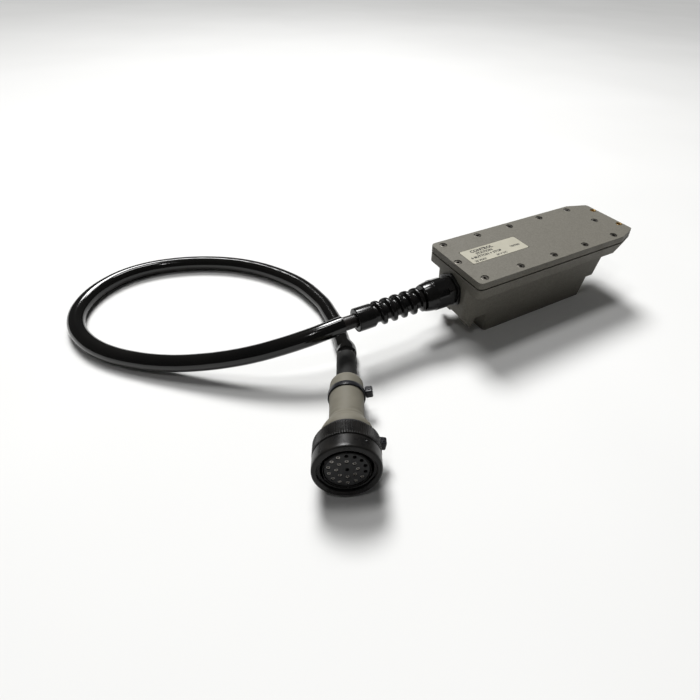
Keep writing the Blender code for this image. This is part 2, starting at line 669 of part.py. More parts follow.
housing()
lid_gasket()
rear_cover()
name_label()
cover_screws()
hook_inserts()
legend_plate()
for index, spot in enumerate(BUTTON_PLACES):
    push_button(index + 1, spot)
stop_button()
wiring_board()
gland()
bend_relief()
cable()
plug()
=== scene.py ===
# %% [markdown]
# # A pendant control station, dressed for its portrait
#
# The real object is a cast hand station that somebody has laid on its buttons, so its screwed
# rear cover faces up. A cable leaves through a gland and a spiral bend relief, makes one loop on
# the table, and ends in a 23-way circular plug in a putty-coloured shrink boot.
#
# This lesson gives them finishes, and swaps the plain stand-ins for surfaces worked out with
# numpy.

# %% Load the solid model
import math

import bmesh
import bpy
import numpy as np
from mathutils import Matrix, Vector


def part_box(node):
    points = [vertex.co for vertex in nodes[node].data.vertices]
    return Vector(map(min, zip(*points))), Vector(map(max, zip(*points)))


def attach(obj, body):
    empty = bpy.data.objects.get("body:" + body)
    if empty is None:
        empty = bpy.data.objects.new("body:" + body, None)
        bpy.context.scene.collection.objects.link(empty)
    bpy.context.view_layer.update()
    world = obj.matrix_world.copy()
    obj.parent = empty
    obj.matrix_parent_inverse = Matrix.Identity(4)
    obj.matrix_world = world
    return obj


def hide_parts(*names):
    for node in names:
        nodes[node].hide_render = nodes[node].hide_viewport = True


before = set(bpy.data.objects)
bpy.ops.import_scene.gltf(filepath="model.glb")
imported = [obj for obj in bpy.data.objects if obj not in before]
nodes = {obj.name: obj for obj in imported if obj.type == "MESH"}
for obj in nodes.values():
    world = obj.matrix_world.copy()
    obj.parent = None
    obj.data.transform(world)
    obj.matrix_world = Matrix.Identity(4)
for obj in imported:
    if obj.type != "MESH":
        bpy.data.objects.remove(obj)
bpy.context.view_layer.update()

# %% [markdown]
# ## Where the viewer stands
#
# A camera has a place, a direction and a lens. The viewer here stands a little left of the
# station, about 28 cm above the table, and looks down at 38 degrees. A wide lens this close
# makes the near plug look large beside the far nose, which is how the real one looks by hand.

# %% Camera
eye = Vector((-0.29756, -0.27052, 0.27923))
forward = Vector((0.4168, 0.6700, -0.6143))
right = Vector((0.8604, -0.5089, 0.0288))
up = Vector((0.2933, 0.5405, 0.7886))

camera = bpy.data.objects.new("viewer", bpy.data.cameras.new("viewer"))
bpy.context.scene.collection.objects.link(camera)
turn = Matrix((right, up, -forward)).transposed().to_4x4()
camera.matrix_world = Matrix.Translation(eye) @ turn
camera.data.sensor_width = 36
camera.data.lens = 24.80
camera.data.shift_x = -0.0733
camera.data.shift_y = -0.0511
camera.data.clip_start, camera.data.clip_end = 0.01, 20
bpy.context.scene.camera = camera
print("lens", camera.data.lens, "mm")

# %% [markdown]
# ## Surfaces from grids
#
# Nearly every piece here is a grid of points: rows along the piece, columns round it. If each
# column's last point joins its first, the grid is a tube. If the last row joins the first row as
# well, it is a closed ring. Working on whole arrays keeps the formulas short, and there is no
# loop over vertices.

# %% Grid to mesh
MM = 0.001
LOOP = np.linspace(0, 2 * np.pi, 97)[:-1]


def skin_faces(rows, columns, ring):
    """Corner numbers of the quads between neighbouring rows and columns of a tube's grid."""
    last = rows if ring else rows - 1
    i, j = np.meshgrid(np.arange(last), np.arange(columns), indexing="ij")
    below, beside = (i + 1) % rows, (j + 1) % columns
    quads = [i * columns + j, i * columns + beside, below * columns + beside, below * columns + j]
    return np.stack(quads, -1).reshape(-1, 4)


def piece_from(name, points, faces, sharp=35):
    """A mesh object from points and faces, facing outward, smooth except at sharp corners."""
    mesh = bpy.data.meshes.new(name)
    mesh.from_pydata(np.asarray(points, float).reshape(-1, 3).tolist(), [], faces)
    cage = bmesh.new()
    cage.from_mesh(mesh)
    bmesh.ops.recalc_face_normals(cage, faces=cage.faces)
    cage.to_mesh(mesh)
    cage.free()
    mesh.shade_smooth()
    mesh.set_sharp_from_angle(angle=math.radians(sharp))
    made = bpy.data.objects.new(name, mesh)
    bpy.context.scene.collection.objects.link(made)
    return made


def loft(name, grid, ring=False, sharp=35):
    """A solid skin over grid (rows, columns, xyz): flat end caps, or none if the rows close."""
    rows, columns = grid.shape[:2]
    faces = skin_faces(rows, columns, ring).tolist()
    if not ring:
        faces += [list(range(columns)), list(range((rows - 1) * columns, rows * columns))]
    return piece_from(name, grid, faces, sharp)


print("a tube of 3 rows and 8 columns has", len(skin_faces(3, 8, False)), "quads")

# %% [markdown]
# ## Turned pieces
#
# Nuts, rings, sleeves and boots are turned: a profile of radius against height goes round an
# axis. Real edges are never knife sharp, so `softened` cuts each corner of a profile by a little
# and puts a small arc there, which is what catches the light.


# %% Turned profiles
def softened(profile, size=0.25 * MM, steps=4):
    """The closed profile with each corner replaced by an arc that starts `size` before it.

    Each arc is the quadratic blend (1-t)^2 a + 2t(1-t) corner + t^2 b."""
    corner = np.asarray(profile, float)
    before, after = np.roll(corner, 1, 0) - corner, np.roll(corner, -1, 0) - corner
    lengths = [np.linalg.norm(side, axis=1, keepdims=True) for side in (before, after)]
    a = corner + before / lengths[0] * np.minimum(size, lengths[0] * 0.45)
    b = corner + after / lengths[1] * np.minimum(size, lengths[1] * 0.45)
    t = np.linspace(0, 1, steps)[:, None, None]
    arcs = (1 - t) ** 2 * a + 2 * t * (1 - t) * corner + t**2 * b
    return arcs.transpose(1, 0, 2).reshape(-1, 2)


def turned(radii, heights, angles=LOOP):
    """Grid (r cos a, r sin a, h) from a radius for every row and angle, and a height per row."""
    heights = np.broadcast_to(np.reshape(heights, (-1, 1)), radii.shape)
    return np.stack([radii * np.cos(angles), radii * np.sin(angles), heights], -1)


def lathe(profile, angles=LOOP):
    """Grid of a turned surface whose radius is the same all the way round."""
    r, h = np.asarray(profile, float).T
    return turned(r[:, None] + 0 * angles, h, angles)


print("a softened square has", len(softened([(1, 0), (2, 0), (2, 1), (1, 1)])), "points")

# %% [markdown]
# ## Two working axes
#
# The gland and bend relief lie on one axis that leaves the station's end wall, and everything
# on the plug lies on another. Each piece is worked out upright, in its own axis's terms, and
# then laid in place, so its object stays at the origin and its place is in its mesh.

# %% Axes of the gland and the plug
END_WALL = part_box("RearCover")[0].x
GLAND_Z = 40.7 * MM
WALL = 6 * MM
RELIEF_LOW = WALL + 31 * MM
RELIEF_HIGH = RELIEF_LOW + 61.7 * MM

plug_heading, plug_tilt = math.radians(-115), math.radians(7.5)
PLUG_AXIS = np.array([math.cos(plug_heading) * math.cos(plug_tilt),
                      math.sin(plug_heading) * math.cos(plug_tilt), math.sin(plug_tilt)])
PLUG_PLACE = np.array([-0.2231, -0.0906, 22 * MM * math.cos(plug_tilt) + 0.1 * MM])
plug_right = np.array([-math.sin(plug_heading), math.cos(plug_heading), 0])
plug_up = np.cross(PLUG_AXIS, plug_right)


def on_gland(grid):
    """Upright points to the gland's axis: height runs from the wall's inner face toward -X."""
    x, y, h = np.moveaxis(grid, -1, 0)
    return np.stack([END_WALL + WALL - h, y, GLAND_Z + x], -1)


def on_plug(grid):
    """Upright points to the plug's axis: height runs out of the plug's face, x to its right."""
    x, y, h = np.moveaxis(grid, -1, 0)
    return (PLUG_PLACE + x[..., None] * plug_right + y[..., None] * plug_up
            + h[..., None] * PLUG_AXIS)


print("plug axis", PLUG_AXIS.round(4))

# %% [markdown]
# ## The cable's route
#
# A cable this stiff keeps wide bends. It leaves the relief level, sinks slowly to the table,
# goes once round, and passes under its own start into the plug. The route is a short list of
# places read through a Catmull-Rom curve, which passes through each place with one smooth
# tangent. The same curve will smooth the profiles of soft turned pieces further down.

# %% Route
TUBING_R = 7 * MM
JACKET_R = 5.6 * MM
REST = TUBING_R + 0.1 * MM
relief_end_x = END_WALL + WALL - RELIEF_HIGH
tubing_start = np.array([relief_end_x - 11 * MM, 0, GLAND_Z])
sleeve_end = PLUG_PLACE - PLUG_AXIS * (96.7 * MM)
route_knots = np.array([
    tubing_start - (2.5 * MM, 0, 0), (-0.1970, 0.0004, 0.0394), (-0.2120, 0.0032, 0.0362),
    (-0.2300, 0.0089, 0.0313), (-0.2480, 0.0165, 0.0260), (-0.2660, 0.0263, 0.0207),
    (-0.2860, 0.0393, 0.0153), (-0.3060, 0.0540, 0.0110), (-0.3260, 0.0712, 0.0083),
    (-0.3460, 0.0924, REST), (-0.3605, 0.1155, REST), (-0.3680, 0.1420, REST),
    (-0.3655, 0.1680, REST), (-0.3510, 0.1925, REST), (-0.3270, 0.2090, REST),
    (-0.2990, 0.2135, REST), (-0.2690, 0.2075, REST), (-0.2400, 0.1940, REST),
    (-0.2145, 0.1745, REST), (-0.1930, 0.1480, REST), (-0.1765, 0.1150, REST),
    (-0.1697, 0.0800, REST), (-0.1700, 0.0580, REST), (-0.1718, 0.0400, REST),
    (-0.1750, 0.0250, 0.0072), (-0.1776, 0.0130, 0.0078),
    sleeve_end - PLUG_AXIS * (11 * MM), sleeve_end - PLUG_AXIS * (2.5 * MM),
])


def through(knots, per_span=24):
    """Catmull-Rom curve: 0.5 (2b + (c-a)t + (2a-5b+4c-d)t^2 + (3b-a-3c+d)t^3) in each span b-c."""
    knots = np.asarray(knots, float)
    ends = np.vstack([2 * knots[0] - knots[1], knots, 2 * knots[-1] - knots[-2]])
    a, b, c, d = (ends[i:len(ends) - 3 + i, None] for i in range(4))
    t = np.linspace(0, 1, per_span, endpoint=False)[None, :, None]
    inside = (2 * b + (c - a) * t + (2 * a - 5 * b + 4 * c - d) * t**2
              + (3 * b - a - 3 * c + d) * t**3) / 2
    return np.vstack([inside.reshape(-1, knots.shape[1]), knots[-1]])


def even(line, spacing):
    """The same line with points at equal distances, about `spacing` apart, and those distances."""
    way = np.r_[0, np.cumsum(np.linalg.norm(np.diff(line, axis=0), axis=1))]
    marks = np.linspace(0, way[-1], int(round(way[-1] / spacing)) + 1)
    return np.stack([np.interp(marks, way, column) for column in line.T], -1), marks


bare_line, bare_marks = even(np.array([(END_WALL - 6 * MM, 0, GLAND_Z), tubing_start]), 3 * MM)
tubing_knots = np.vstack([tubing_start, through(route_knots), sleeve_end - PLUG_AXIS * 0.3 * MM])
tubing_line, tubing_marks = even(tubing_knots, 1.5 * MM)
cable_line = np.vstack([bare_line, tubing_line[1:]])
cable_marks = np.r_[bare_marks, bare_marks[-1] + tubing_marks[1:]]

# %% [markdown]
# ## A tube along the route
#
# A tube needs a ring of points square to the route at every place. The ring's own "up" must not
# spin on the way, so each ring takes the last one's and drops only what has turned out of square.
#
# The cable is bare for 11 mm after the relief, and from there it runs in an outer tubing with a
# clean cut end. One skin does for both: the row at the cut appears twice, thin and then thick.
# The tubing is never perfectly even, so its radius wanders by a twentieth of a millimetre, and
# that is what makes the long highlights break and wave. Over its last two centimetres it swells
# a little towards the plug's sleeve, and it falls back to its own radius just before the end.


# %% Cable
def carried_frames(line):
    """Two unit vectors square to the line at each point, carried along without twist."""
    way = np.gradient(line, axis=0)
    way /= np.linalg.norm(way, axis=1, keepdims=True)
    side = np.empty_like(way)
    side[0] = np.cross(way[0], (0, 0, 1))
    side[0] /= np.linalg.norm(side[0])
    for i in range(len(line) - 1):
        side[i + 1] = side[i] - way[i + 1] * (side[i] @ way[i + 1])
        side[i + 1] /= np.linalg.norm(side[i + 1])
    return side, np.cross(way, side)


def wander(along, around, seed, longest=0.11, shortest=0.012):
    """Smooth unevenness from -1 to 1: nine sines along and around, with seeded phases."""
    rng = np.random.default_rng(seed)
    k = 2 * np.pi / np.geomspace(longest, shortest, 9)
    turns, phase = rng.integers(-3, 4, 9), rng.uniform(0, 2 * np.pi, 9)
    total = np.sin(along[:, None, None] * k + around[None, :, None] * turns + phase).sum(-1)
    return total / np.abs(total).max()


CABLE_SIDES = 48
UNEVEN = 0.05 * MM
TUBING_SEED = 4
FLARE_FROM_END = np.array([3.6, 4.4, 9, 20]) * MM
FLARE = np.array([0, 1.35, 1.15, 0]) * MM
cut = len(bare_line) - 1
rows = np.r_[0:cut + 1, cut:len(cable_line)]
angles = np.linspace(0, 2 * np.pi, CABLE_SIDES, endpoint=False)
side, lift = carried_frames(cable_line)
spokes = (np.cos(angles)[None, :, None] * side[rows][:, None]
          + np.sin(angles)[None, :, None] * lift[rows][:, None])
in_tubing = np.arange(len(rows)) > cut
uneven = UNEVEN * wander(cable_marks[rows], angles, TUBING_SEED)
flare = np.interp(cable_marks[-1] - cable_marks[rows], FLARE_FROM_END, FLARE)
thickness = np.where(in_tubing, TUBING_R - 0.06 * MM, JACKET_R) + flare
radius = thickness[:, None] + in_tubing[:, None] * uneven
cable = loft("cable", cable_line[rows][:, None] + radius[..., None] * spokes)
print("cable has", len(cable.data.polygons), "faces")

# %% [markdown]
# ## Finishes
#
# Each finish is a Principled shader with a little noise behind it. The noise has the real
# grain's size: a sand-textured paint has grains of about a millimetre, while moulded nylon has
# a bloom that is centimetres wide and a grain too small to see except in its highlights. All of
# it is read from Object coordinates, so it stays on the piece when the piece moves.


# %% Finish helpers
FINE_GRAIN = 1400  # features per metre


def sockets_of(finish):
    """The inputs of a material's Principled shader."""
    return finish.node_tree.nodes["Principled BSDF"].inputs


def new_finish(name, colour, roughness, coat=0.0):
    """A material whose constants sit on the Principled shader's own sockets."""
    made = bpy.data.materials.new(name)
    made.use_nodes = True
    sockets_of(made)["Base Color"].default_value = (*colour, 1)
    sockets_of(made)["Roughness"].default_value = roughness
    sockets_of(made)["Coat Weight"].default_value = coat
    sockets_of(made)["Coat Roughness"].default_value = 0.08
    return made


def add_noise(finish, per_metre, detail):
    """The height output of a noise with that many features per metre."""
    tree = finish.node_tree
    place = tree.nodes.new("ShaderNodeTexCoord")
    noise = tree.nodes.new("ShaderNodeTexNoise")
    noise.inputs["Scale"].default_value = per_metre
    noise.inputs["Detail"].default_value = detail
    tree.links.new(place.outputs["Object"], noise.inputs["Vector"])
    return noise.outputs["Fac"]


def colour_between(finish, height, first, second, low=0.3, high=0.7):
    """Base colour that goes from first to second as the height goes from low to high."""
    tree = finish.node_tree
    ramp = tree.nodes.new("ShaderNodeValToRGB")
    for stop, place, colour in zip(ramp.color_ramp.elements, (low, high), (first, second)):
        stop.position, stop.color = place, (*colour, 1)
    tree.links.new(height, ramp.inputs["Fac"])
    tree.links.new(ramp.outputs["Color"], sockets_of(finish)["Base Color"])


def roughness_between(finish, height, low, high):
    """Roughness that goes from low to high as the height goes through its middle range."""
    tree = finish.node_tree
    scale = tree.nodes.new("ShaderNodeMapRange")
    for name, value in zip(("From Min", "From Max", "To Min", "To Max"), (0.3, 0.7, low, high)):
        scale.inputs[name].default_value = value
    tree.links.new(height, scale.inputs["Value"])
    tree.links.new(scale.outputs["Result"], sockets_of(finish)["Roughness"])


def raised(finish, height, depth, strength=1.0):
    """Bump of that depth in metres. A second call stacks its bump on the first."""
    tree = finish.node_tree
    normal = sockets_of(finish)["Normal"]
    bump = tree.nodes.new("ShaderNodeBump")
    bump.inputs["Distance"].default_value = depth
    bump.inputs["Strength"].default_value = strength
    if normal.is_linked:
        tree.links.new(normal.links[0].from_socket, bump.inputs["Normal"])
    tree.links.new(height, bump.inputs["Height"])
    tree.links.new(bump.outputs["Normal"], normal)


def moulded(name, dark, light, roughness, spread=0.1, grain=0.02 * MM, coat=0.0, bloom=45):
    """Moulded plastic or rubber: broad bloom in the colour and gloss, and a fine grain."""
    finish = new_finish(name, light, roughness, coat)
    broad = add_noise(finish, bloom, 5)
    colour_between(finish, broad, dark, light)
    roughness_between(finish, broad, roughness - spread / 2, roughness + spread / 2)
    raised(finish, add_noise(finish, FINE_GRAIN, 2), grain)
    return finish


def metal(name, dark, light, roughness):
    """Metal with a faint mottled tarnish and a fine grain."""
    finish = moulded(name, dark, light, roughness, 0.16, bloom=420)
    sockets_of(finish)["Metallic"].default_value = 1.0
    return finish


print("grains on moulded pieces are", round(1 / FINE_GRAIN / MM, 1), "mm apart")

# %% [markdown]
# ## The casting's paint
#
# The station is a casting in grey sand-texture paint. The texture is two sizes of noise: grains
# about a millimetre wide, and low swells a few millimetres wide where the paint ran thick. The
# hollows between the grains are painted about a third darker than their tops: painted shade,
# taken from the same noise that raises the grains.
#
# The blacks are kept apart by their gloss: shiny nylon and tubing, duller plug plastic, matt
# sleeve. Lowering a shader's specular level dims the reflection of the pale table in them.

# %% Paint, plastics and metals
paint = new_finish("sand_texture_grey", (0.15, 0.143, 0.122), 0.6)
paint_grain = add_noise(paint, 850, 4)
# painted shade: the grain hollows, low in the same noise that raises the grains, are coloured
# darker than the tops
colour_between(paint, paint_grain, (0.112, 0.105, 0.086), (0.160, 0.151, 0.127), 0.25, 0.75)
roughness_between(paint, add_noise(paint, 60, 4), 0.52, 0.7)
raised(paint, add_noise(paint, 260, 3), 0.10 * MM, 0.5)
raised(paint, paint_grain, 0.10 * MM, 0.9)

label_film = moulded("label_film", (0.37, 0.353, 0.285), (0.43, 0.41, 0.335), 0.5, 0.12, 0.01 * MM)
print_ink = moulded("label_print", (0.02, 0.02, 0.022), (0.035, 0.034, 0.034), 0.55)
gland_nylon = moulded("gland_nylon", (0.004, 0.004, 0.0042), (0.008, 0.0075, 0.007), 0.16, 0.08,
                      0.01 * MM, bloom=60)
relief_nylon = moulded("relief_nylon", (0.004, 0.004, 0.004), (0.008, 0.0075, 0.007), 0.18, 0.1,
                       0.02 * MM, bloom=90)
tubing_gloss = moulded("tubing_gloss", (0.003, 0.003, 0.003), (0.006, 0.0056, 0.005), 0.10, 0.06,
                       0.006 * MM, bloom=25)
jacket_black = moulded("jacket_black", (0.010, 0.009, 0.009), (0.022, 0.018, 0.016), 0.3, 0.12)
cut_edge = moulded("tubing_cut_edge", (0.10, 0.098, 0.09), (0.17, 0.165, 0.15), 0.45)
sleeve_matt = moulded("sleeve_matt", (0.007, 0.007, 0.0066), (0.012, 0.0116, 0.011), 0.7, 0.1,
                      0.05 * MM)
boot_putty = moulded("boot_putty", (0.125, 0.116, 0.090), (0.162, 0.151, 0.120), 0.62, 0.14,
                     0.03 * MM, bloom=70)
tie_nylon = moulded("tie_nylon", (0.010, 0.010, 0.012), (0.022, 0.022, 0.026), 0.3, 0.12)
plug_plastic = moulded("plug_plastic", (0.007, 0.0068, 0.0068), (0.013, 0.012, 0.011), 0.3, 0.14,
                       0.03 * MM, bloom=110)
insert_plastic = moulded("insert_plastic", (0.010, 0.010, 0.0105), (0.017, 0.017, 0.0175), 0.5, 0.1)
button_black = moulded("button_black", (0.012, 0.012, 0.012), (0.03, 0.03, 0.03), 0.34)
switch_black = moulded("switch_black", (0.018, 0.018, 0.018), (0.035, 0.034, 0.033), 0.55)
gasket_rubber = moulded("gasket_rubber", (0.060, 0.057, 0.048), (0.085, 0.080, 0.068), 0.75)
stop_red = moulded("stop_red", (0.50, 0.012, 0.010), (0.62, 0.020, 0.015), 0.3, 0.1, coat=0.2)
legend_yellow = moulded("legend_yellow", (0.66, 0.44, 0.03), (0.76, 0.53, 0.045), 0.42)
board_green = moulded("board_green", (0.02, 0.12, 0.05), (0.04, 0.19, 0.08), 0.38)
screw_steel = metal("screw_steel", (0.045, 0.042, 0.037), (0.13, 0.122, 0.108), 0.42)
plated_steel = metal("plated_steel", (0.13, 0.124, 0.112), (0.24, 0.23, 0.21), 0.4)
socket_tin = metal("socket_tin", (0.30, 0.29, 0.27), (0.55, 0.53, 0.50), 0.28)
insert_brass = metal("insert_brass", (0.42, 0.26, 0.09), (0.70, 0.47, 0.19), 0.34)

specular_levels = {0.45: (tubing_gloss,), 0.16: (plug_plastic,), 0.08: (print_ink,),
                   0.28: (gland_nylon, relief_nylon, jacket_black, sleeve_matt, tie_nylon,
                          insert_plastic, boot_putty, paint, label_film)}
for level, finishes in specular_levels.items():
    for finish in finishes:
        sockets_of(finish)["Specular IOR Level"].default_value = level
print(len(bpy.data.materials), "materials in the file")

# %% [markdown]
# ## Putting pieces in place
#
# Every new piece rides on a body, so that it moves with the buttons, the stop or the coupling
# ring, and stands for the plain CAD solid that it replaces.


# %% Placing
def dress(piece, *finishes):
    """Gives a piece its finishes, in place of any that it had."""
    piece.data.materials.clear()
    for finish in finishes:
        piece.data.materials.append(finish)


def fit_out(piece, finish, slot, *stands_for, body="station"):
    """Gives a piece its finish, rides it on its body and hides the CAD nodes. Its slot is not used.
    """
    dress(piece, *(finish if isinstance(finish, tuple) else (finish,)))
    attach(piece, body)
    if stands_for:
        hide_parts(*stands_for)
    return piece


def seat(node):
    """The middle x and y of a CAD node's box, and its lowest and highest z."""
    low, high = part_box(node)
    return (low.x + high.x) / 2, (low.y + high.y) / 2, low.z, high.z


fit_out(cable, (jacket_black, tubing_gloss, cut_edge), "gloss_tubing",
        "CableTail", "CableJacket", "CableTubing")
JACKET, TUBING, CUT_EDGE = range(3)
face_rows = np.repeat(np.arange(len(rows) - 1), CABLE_SIDES)
face_wears = np.select([face_rows < cut, face_rows == cut], [JACKET, CUT_EDGE], TUBING)
end_caps = [JACKET, TUBING]
cable.data.polygons.foreach_set("material_index", np.r_[face_wears, end_caps].astype(np.int32))
print("cable wears", [m.name for m in cable.data.materials])

# %% [markdown]
# ## The casting and its cover
#
# The housing and the cover keep the CAD's exact shape. A copy of each is merged back from loose
# triangles into whole faces, and a small bevel rounds the housing's edges, as paint and casting
# do. The bevel is only as wide as a cast edge's radius, so no size changes. The cover already
# has its rounded edges in the CAD, and only a low crease angle keeps its top flat.


# %% Rounded copies of CAD solids
MERGE_WITHIN = 0.002 * MM
FLAT_WITHIN = math.radians(2)
BEVEL_OVER = math.radians(40)


def rounded_copy(node, name, width, crease):
    """The node's mesh with its doubles merged and its flat areas made whole, then bevelled.
    Its corners stay sharp if they turn by more than `crease` degrees."""
    made = bpy.data.objects.new(name, nodes[node].data.copy())
    bpy.context.scene.collection.objects.link(made)
    cage = bmesh.new()
    cage.from_mesh(made.data)
    bmesh.ops.remove_doubles(cage, verts=cage.verts, dist=MERGE_WITHIN)
    bmesh.ops.dissolve_limit(cage, angle_limit=FLAT_WITHIN, verts=cage.verts, edges=cage.edges)
    cage.to_mesh(made.data)
    cage.free()
    made.data.shade_smooth()
    if width:
        edge = made.modifiers.new("cast edge", "BEVEL")
        edge.width, edge.segments = width, 3
        edge.limit_method, edge.angle_limit = "ANGLE", BEVEL_OVER
        edge.harden_normals = True
    made.data.set_sharp_from_angle(angle=math.radians(crease))
    return made


fit_out(rounded_copy("Housing", "housing_casting", 0.7 * MM, 40), paint, "casting", "Housing")
fit_out(rounded_copy("RearCover", "rear_cover", 0, 10), paint, "casting", "RearCover")
for name in ("LidGasket", "GlandSeal"):
    dress(nodes[name], gasket_rubber)
print("casting and cover ready")

# %% [markdown]
# ## Cover screws and hook inserts
#
# Twelve countersunk screws hold the cover. Each head is a flat disc with a hexagonal socket: the
# rows of the grid start as a hexagon on the socket's floor, climb its wall, open out to a circle
# and run down the cone to the shank. The sockets point in different directions, as they do when
# screws are only turned until they are tight. Two screws are bright plated replacements.
#
# The two brass inserts at the nose are threaded for a hook. A thread is a groove that goes down
# one pitch each turn, so its depth depends on height over pitch minus the share of a turn.

# %% Fasteners
SCREW_SIDES = 36
screw_angles = np.linspace(0, 2 * np.pi, SCREW_SIDES, endpoint=False)


def hexagon(apothem, around, flat):
    """Radius of a hexagon at each angle: apothem / cos(a), where a is the angle from the middle
    of the nearest flat, and `flat` is the direction of one of the flats."""
    from_flat = (around - flat + np.pi / 6) % (np.pi / 3) - np.pi / 6
    return apothem / np.cos(from_flat)


SOCKET_APOTHEM = 1.25 * MM
SOCKET_HEIGHTS = np.array([-1.45, -1.3, -0.12, 0]) * MM
SOCKET_SCALE = np.array([0.3, 1, 1, 1.04])[:, None]
HEAD_CIRCLES = np.array([(1.75, 0), (2.7, 0), (3.1, -0.12), (3.2, -0.4), (1.5, -2.0)]) * MM


def screw_grid(top, foot, twist):
    """Rows of a socket screw: hexagon floor, hexagon rim, circles down the cone and shank."""
    socket = hexagon(SOCKET_APOTHEM, screw_angles, twist)
    circles = np.vstack([HEAD_CIRCLES, (HEAD_CIRCLES[-1, 0], foot - top)])
    radii = np.vstack([socket * SOCKET_SCALE, circles[:, :1] + 0 * screw_angles])
    return turned(radii, top + np.r_[SOCKET_HEIGHTS, circles[:, 1]], screw_angles)


BRIGHT = {5, 12}
TWIST = 0.7
for number in range(1, 13):
    node = f"CoverScrew_{number:02d}"
    x, y, foot, top = seat(node)
    screw = loft(f"cover_screw_{number:02d}", screw_grid(top, foot, number * TWIST) + (x, y, 0),
                 sharp=30)
    fit_out(screw, plated_steel if number in BRIGHT else screw_steel, "screw_steel", node)

THREAD_PITCH, THREAD_DEPTH, THREAD_BORE = 0.8 * MM, 0.22 * MM, 1.75 * MM
INSERT_RADII = np.array([2.3, 2.75, 2.85, 2.85, 2.75, 2.3]) * MM
EASE = 0.12 * MM
for number in (1, 2):
    x, y, foot, top = seat(f"HookInsert_{number}")
    h = np.linspace(foot + 0.15 * MM, top - 0.15 * MM, 60)
    turn_share = (h[:, None] / THREAD_PITCH - screw_angles / (2 * np.pi)) % 1
    thread = THREAD_BORE + THREAD_DEPTH * np.abs(2 * turn_share - 1)
    radii = np.vstack([thread, INSERT_RADII[:, None] + 0 * screw_angles])
    grid = turned(radii, np.r_[h, top, top, top - EASE, foot + EASE, foot, foot], screw_angles)
    insert = loft(f"hook_insert_{number}", grid + (x, y, 0), ring=True)
    fit_out(insert, insert_brass, "brass", f"HookInsert_{number}")
print("12 screws and 2 inserts")

# %% [markdown]
# ## The label
#
# A thin film with round corners, stuck in a shallow pocket. Its outline is a rectangle with an
# arc at each corner. The print is made of real letters, but says only what any such station
# could say.


# %% Label and print
def slab(name, outline, low, high, soft=0.05 * MM):
    """A flat plate: the outline at four levels, with its top and bottom edges eased."""
    middle = outline.mean(0)
    inward = (outline - middle) / np.linalg.norm(outline - middle, axis=1, keepdims=True) * soft
    levels = [(outline - inward, low), (outline, low + soft), (outline, high - soft),
              (outline - inward, high)]
    grid = np.stack([np.column_stack([flat, np.full(len(flat), h)]) for flat, h in levels])
    return loft(name, grid, sharp=30)


def round_corners(low, high, radius, steps=6):
    """Outline of a rectangle whose corners are quarter circles of that radius."""
    corner = np.array([(high[0], high[1]), (low[0], high[1]), (low[0], low[1]), (high[0], low[1])])
    inset = corner + np.array([(-1, -1), (1, -1), (1, 1), (-1, 1)]) * radius
    a = np.arange(4)[:, None] * np.pi / 2 + np.linspace(0, np.pi / 2, steps)
    return (inset[:, None] + radius * np.stack([np.cos(a), np.sin(a)], -1)).reshape(-1, 2)


PRINT_GAP = 0.004 * MM
label_low, label_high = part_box("NameLabel")
outline = round_corners(label_low[:2], label_high[:2], 1.5 * MM)
fit_out(slab("name_label", outline, label_low.z, label_high.z), label_film, "label", "NameLabel")


INK_THICKNESS = 0.012 * MM
BOLDER = 0.04


def finished_mesh(source):
    """A new mesh of an object as its text settings or modifiers leave it."""
    bpy.context.view_layer.update()
    now = bpy.context.evaluated_depsgraph_get()
    return bpy.data.meshes.new_from_object(source.evaluated_get(now))


def printed(name, words, place, size, put, slot, align="LEFT"):
    """Words as a thin raised mesh: text made a mesh first, then moved by `put`."""
    text = bpy.data.curves.new(name, "FONT")
    text.body, text.size, text.extrude, text.align_x = words, size, INK_THICKNESS, align
    text.offset = BOLDER * size
    text.resolution_u = 2
    source = bpy.data.objects.new(name, text)
    bpy.context.scene.collection.objects.link(source)
    mesh = finished_mesh(source)
    bpy.data.objects.remove(source)
    points = np.empty(len(mesh.vertices) * 3)
    mesh.vertices.foreach_get("co", points)
    mesh.vertices.foreach_set("co", put(points.reshape(-1, 3) + (*place, 0)).ravel())
    mesh.name = name
    made = bpy.data.objects.new(name, mesh)
    bpy.context.scene.collection.objects.link(made)
    fit_out(made, print_ink, slot)


def on_label(points):
    """Label terms to the row frame: x along the label from its gland end, y up its face."""
    return points + (label_low.x, label_low.y, label_high.z + PRINT_GAP)


lines = [("title", "CONTROL", (9.0, 15.3), 5.0), ("kind", "STATION", (12.0, 11.0), 4.2),
         ("use", "6 BUTTON + STOP", (3.5, 6.6), 3.9), ("plug", "23 WAY", (3.5, 1.4), 3.4),
         ("supply", "24 V DC", (27.0, 1.8), 3.2), ("check", "TESTED", (46.5, 7.2), 3.2)]
for key, words, (x, y), size in lines:
    printed(f"label_{key}", words, (x * MM, y * MM), size * MM, on_label, "label")
print(len(lines), "lines of print")

# %% [markdown]
# ## The gland
#
# A hexagonal flange, a smaller hexagonal body, and a nut with a domed end. A real hexagon nut is
# turned before its flats are milled, so its ends carry a cone: the radius is the smaller of the
# hexagon and that cone, which leaves the curved chamfer lines at the six corners. The dome nut
# has flats for a wrench only round its rear half, where its radius is cut back to a hexagon.

# %% Gland pieces
GLAND_TURN = math.radians(3)
FLAT_MIDDLE = GLAND_TURN + np.pi / 6
GAP = 0.3 * MM


